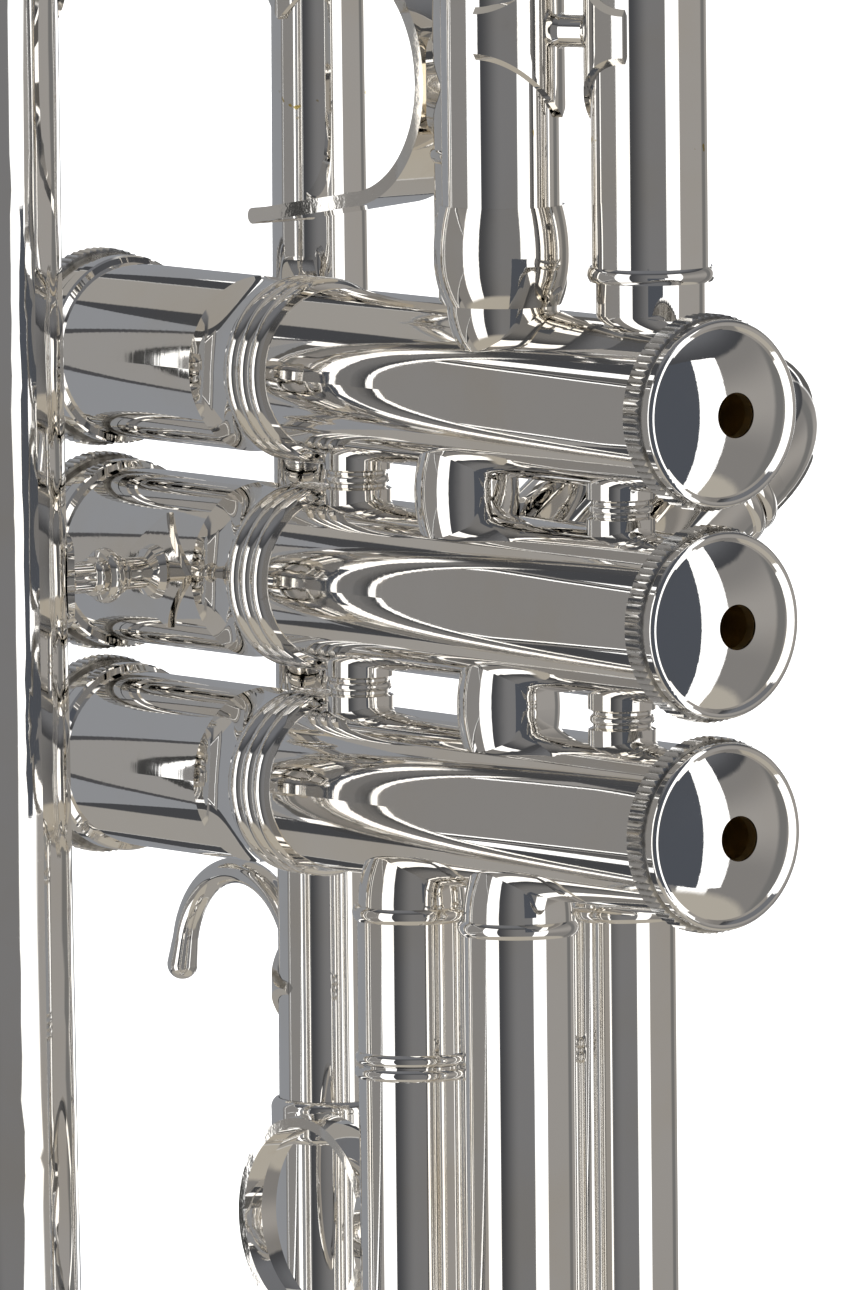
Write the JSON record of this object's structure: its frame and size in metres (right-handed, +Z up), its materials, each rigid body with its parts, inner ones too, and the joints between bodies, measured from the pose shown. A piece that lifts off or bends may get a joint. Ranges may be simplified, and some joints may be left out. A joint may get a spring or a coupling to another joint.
{
  "type": "trumpet",
  "caption": "Silver-plated piston trumpet standing on its bell, with three valves, four tuning slides, a thumb saddle, a finger ring, a water key and a mouthpiece.",
  "frame": {"origin": "centre of the bell's rim, on the face it stands on", "axes": "+Z up the bell towards the mouthpiece, +X towards the valves' bottom caps, +Y towards the leadpipe"},
  "size_m": [0.1615, 0.1318, 0.547],
  "materials": {
    "silver_plate": "mirror-polished silver plate on brass",
    "nickel_alloy": "lapped nickel-copper alloy",
    "brass": "bare turned brass",
    "spring_steel": "bright spring wire",
    "felt": "pressed wool felt",
    "pearl": "polished shell"
  },
  "bodies": {
    "horn": {"bell": "silver_plate", "bell_bow": "silver_plate", "bell_bow_ferrules": "silver_plate", "bell_post": "silver_plate", "bell_tail": "silver_plate", "bottom_cap_1": "silver_plate", "bottom_cap_2": "silver_plate", "bottom_cap_3": "silver_plate", "casing_spools": "silver_plate", "crossing_tube_1_2": "silver_plate", "crossing_tube_2_3": "silver_plate", "first_slide_lower_tube": "silver_plate", "first_slide_upper_tube": "silver_plate", "front_brace": "silver_plate", "leadpipe": "silver_plate", "leadpipe_pads": "silver_plate", "leadpipe_sleeve": "silver_plate", "little_finger_hook": "silver_plate", "mouthpiece_receiver": "silver_plate", "rear_brace": "silver_plate", "second_slide_tubes": "silver_plate", "tail_brace": "silver_plate", "tail_ferrule": "silver_plate", "third_slide_lower_tube": "silver_plate", "third_slide_upper_tube": "silver_plate", "top_caps": "silver_plate", "tuning_lower_tube": "silver_plate", "valve_casing_1": "silver_plate", "valve_casing_2": "silver_plate", "valve_casing_3": "silver_plate", "valve_guides": "brass"},
    "valve_1": {"piston_1": "nickel_alloy", "valve_spring_1": "spring_steel", "valve_stem_1": "nickel_alloy", "stem_felts_1": "felt", "finger_button_1": "silver_plate", "button_pearl_1": "pearl"},
    "valve_2": {"piston_2": "nickel_alloy", "valve_spring_2": "spring_steel", "valve_stem_2": "nickel_alloy", "stem_felts_2": "felt", "finger_button_2": "silver_plate", "button_pearl_2": "pearl"},
    "valve_3": {"piston_3": "nickel_alloy", "valve_spring_3": "spring_steel", "valve_stem_3": "nickel_alloy", "stem_felts_3": "felt", "finger_button_3": "silver_plate", "button_pearl_3": "pearl"},
    "first_slide_unit": {"first_slide": "silver_plate", "thumb_saddle": "silver_plate"},
    "second_slide_unit": {"second_slide": "silver_plate"},
    "third_slide_unit": {"third_slide": "silver_plate", "finger_ring": "silver_plate"},
    "tuning_slide_unit": {"tuning_slide": "silver_plate", "tuning_stay": "silver_plate", "tuning_key_seat": "silver_plate"},
    "water_key": {"tuning_key_lever": "silver_plate"},
    "mouthpiece_unit": {"mouthpiece": "silver_plate"}
  },
  "joints": [
    {"name": "valve_1_press", "type": "slide", "parent": "horn", "child": "valve_1", "axis": [1, 0, 0], "range_m": [0, 0.016], "stiffness_N_per_m": 150, "springref_m": -0.01, "deforming": ["valve_spring_1"]},
    {"name": "valve_2_press", "type": "slide", "parent": "horn", "child": "valve_2", "axis": [1, 0, 0], "range_m": [0, 0.016], "stiffness_N_per_m": 150, "springref_m": -0.01, "deforming": ["valve_spring_2"]},
    {"name": "valve_3_press", "type": "slide", "parent": "horn", "child": "valve_3", "axis": [1, 0, 0], "range_m": [0, 0.016], "stiffness_N_per_m": 150, "springref_m": -0.01, "deforming": ["valve_spring_3"]},
    {"name": "first_slide_pull", "type": "slide", "parent": "horn", "child": "first_slide_unit", "axis": [0, 0, 1], "range_m": [0, 0.02]},
    {"name": "second_slide_pull", "type": "slide", "parent": "horn", "child": "second_slide_unit", "axis": [0, 0.7986, 0.6018], "range_m": [0, 0.008]},
    {"name": "third_slide_pull", "type": "slide", "parent": "horn", "child": "third_slide_unit", "axis": [0, 0, -1], "range_m": [0, 0.028]},
    {"name": "tuning_slide_pull", "type": "slide", "parent": "horn", "child": "tuning_slide_unit", "axis": [0, 0, -1], "range_m": [0, 0.025]},
    {"name": "water_key_press", "type": "hinge", "parent": "tuning_slide_unit", "child": "water_key", "pos_m": [0.0642, 0.0525, 0.135], "axis": [0, -1, 0], "range_deg": [0, 8], "stiffness_Nm_per_rad": 0.03, "springref_deg": -22.92},
    {"name": "mouthpiece_pull", "type": "slide", "parent": "horn", "child": "mouthpiece_unit", "axis": [0, 0, 1], "range_m": [0, 0.03]}
  ]
}
